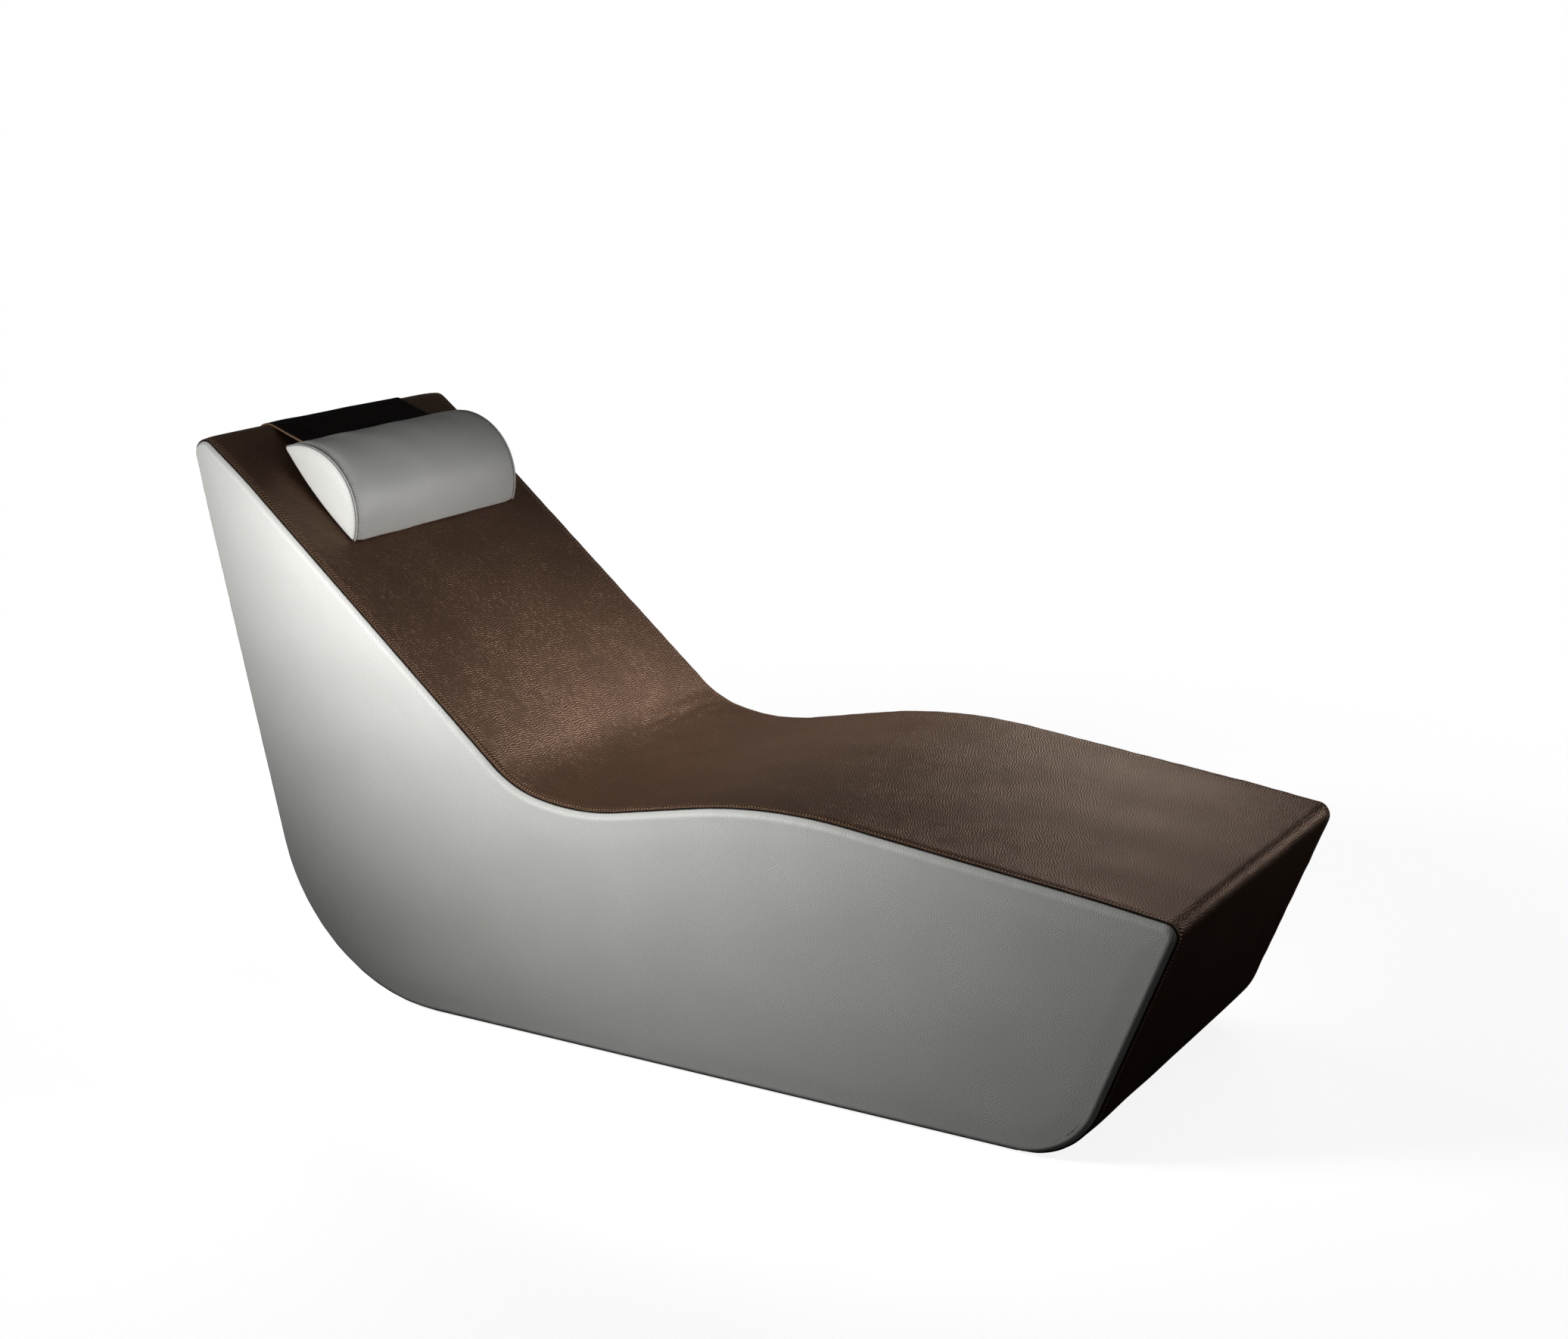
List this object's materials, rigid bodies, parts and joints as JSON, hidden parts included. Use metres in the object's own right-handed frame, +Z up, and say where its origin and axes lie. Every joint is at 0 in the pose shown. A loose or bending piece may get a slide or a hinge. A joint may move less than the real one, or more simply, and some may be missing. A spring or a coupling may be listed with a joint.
{
  "type": "spa relaxation lounger",
  "caption": "Leather-covered relaxation lounger whose sloping back, seat dip and raised leg rest are a single upholstered body, with a half-round headrest on a counterweighted strap.",
  "frame": {"origin": "on the floor, under the middle of the whole object's bounding box", "axes": "+X from the head to the foot end, +Y across to the side away from the picture's camera, +Z up"},
  "size_m": [1.935, 0.665, 1.0313],
  "materials": {
    "white_leather": "satin",
    "brown_leather": "satin",
    "strap_leather": "satin",
    "foam": "matte",
    "zip_tape": "matte",
    "zip_metal": "satin",
    "bar_steel": "matte",
    "screw_steel": "satin",
    "glide_plastic": "matte",
    "dust_cloth": "matte",
    "plywood": "matte",
    "pine": "matte"
  },
  "bodies": {
    "base": {"back_deck": "plywood", "back_rail": "pine", "base_board": "plywood", "base_runner_left": "pine", "base_runner_right": "pine", "calf_rail": "pine", "dust_cover": "dust_cloth", "foot_foam": "foam", "foot_panel": "plywood", "foot_rail": "pine", "frame_screws": "screw_steel", "front_base_rail": "pine", "glide_screws": "screw_steel", "glides": "glide_plastic", "head_rail": "pine", "lumbar_rail": "pine", "middle_base_rail": "pine", "rear_base_rail": "pine", "rear_cover": "brown_leather", "rear_foam": "foam", "rear_panel": "plywood", "rear_rail": "pine", "seat_cover": "brown_leather", "seat_deck": "plywood", "seat_rail": "pine", "shin_rail": "pine", "side_cover_left": "white_leather", "side_cover_right": "white_leather", "side_foam_left": "foam", "side_foam_right": "foam", "side_frame_left": "plywood", "side_frame_right": "plywood", "strap_crest": "strap_leather", "toe_rail": "pine", "top_foam": "foam"},
    "headrest": {"headrest_cap_left": "white_leather", "headrest_cap_right": "white_leather", "headrest_cover": "white_leather", "headrest_foam": "foam", "headrest_zip": "zip_tape", "strap_front": "strap_leather"},
    "slider": {"zip_slider": "zip_metal"},
    "counterweight": {"strap_rear": "strap_leather", "weight_bar_left": "bar_steel", "weight_bar_right": "bar_steel", "weight_pouch": "strap_leather"}
  },
  "joints": [
    {"name": "headrest_slide", "type": "slide", "parent": "base", "child": "headrest", "axis": [0.7582, 0, -0.652], "range_m": [-0.05, 0.2], "deforming": ["strap_front"]},
    {"name": "counterweight_slide", "type": "slide", "parent": "base", "child": "counterweight", "axis": [0, 0, 1], "range_m": [-0.05, 0.2], "deforming": ["strap_rear"]},
    {"name": "zip_run", "type": "slide", "parent": "headrest", "child": "slider", "axis": [0, 1, 0], "range_m": [0, 0.34]}
  ],
  "couplings": [
    {"joint": "counterweight_slide", "follows": "headrest_slide", "ratio": 1}
  ]
}
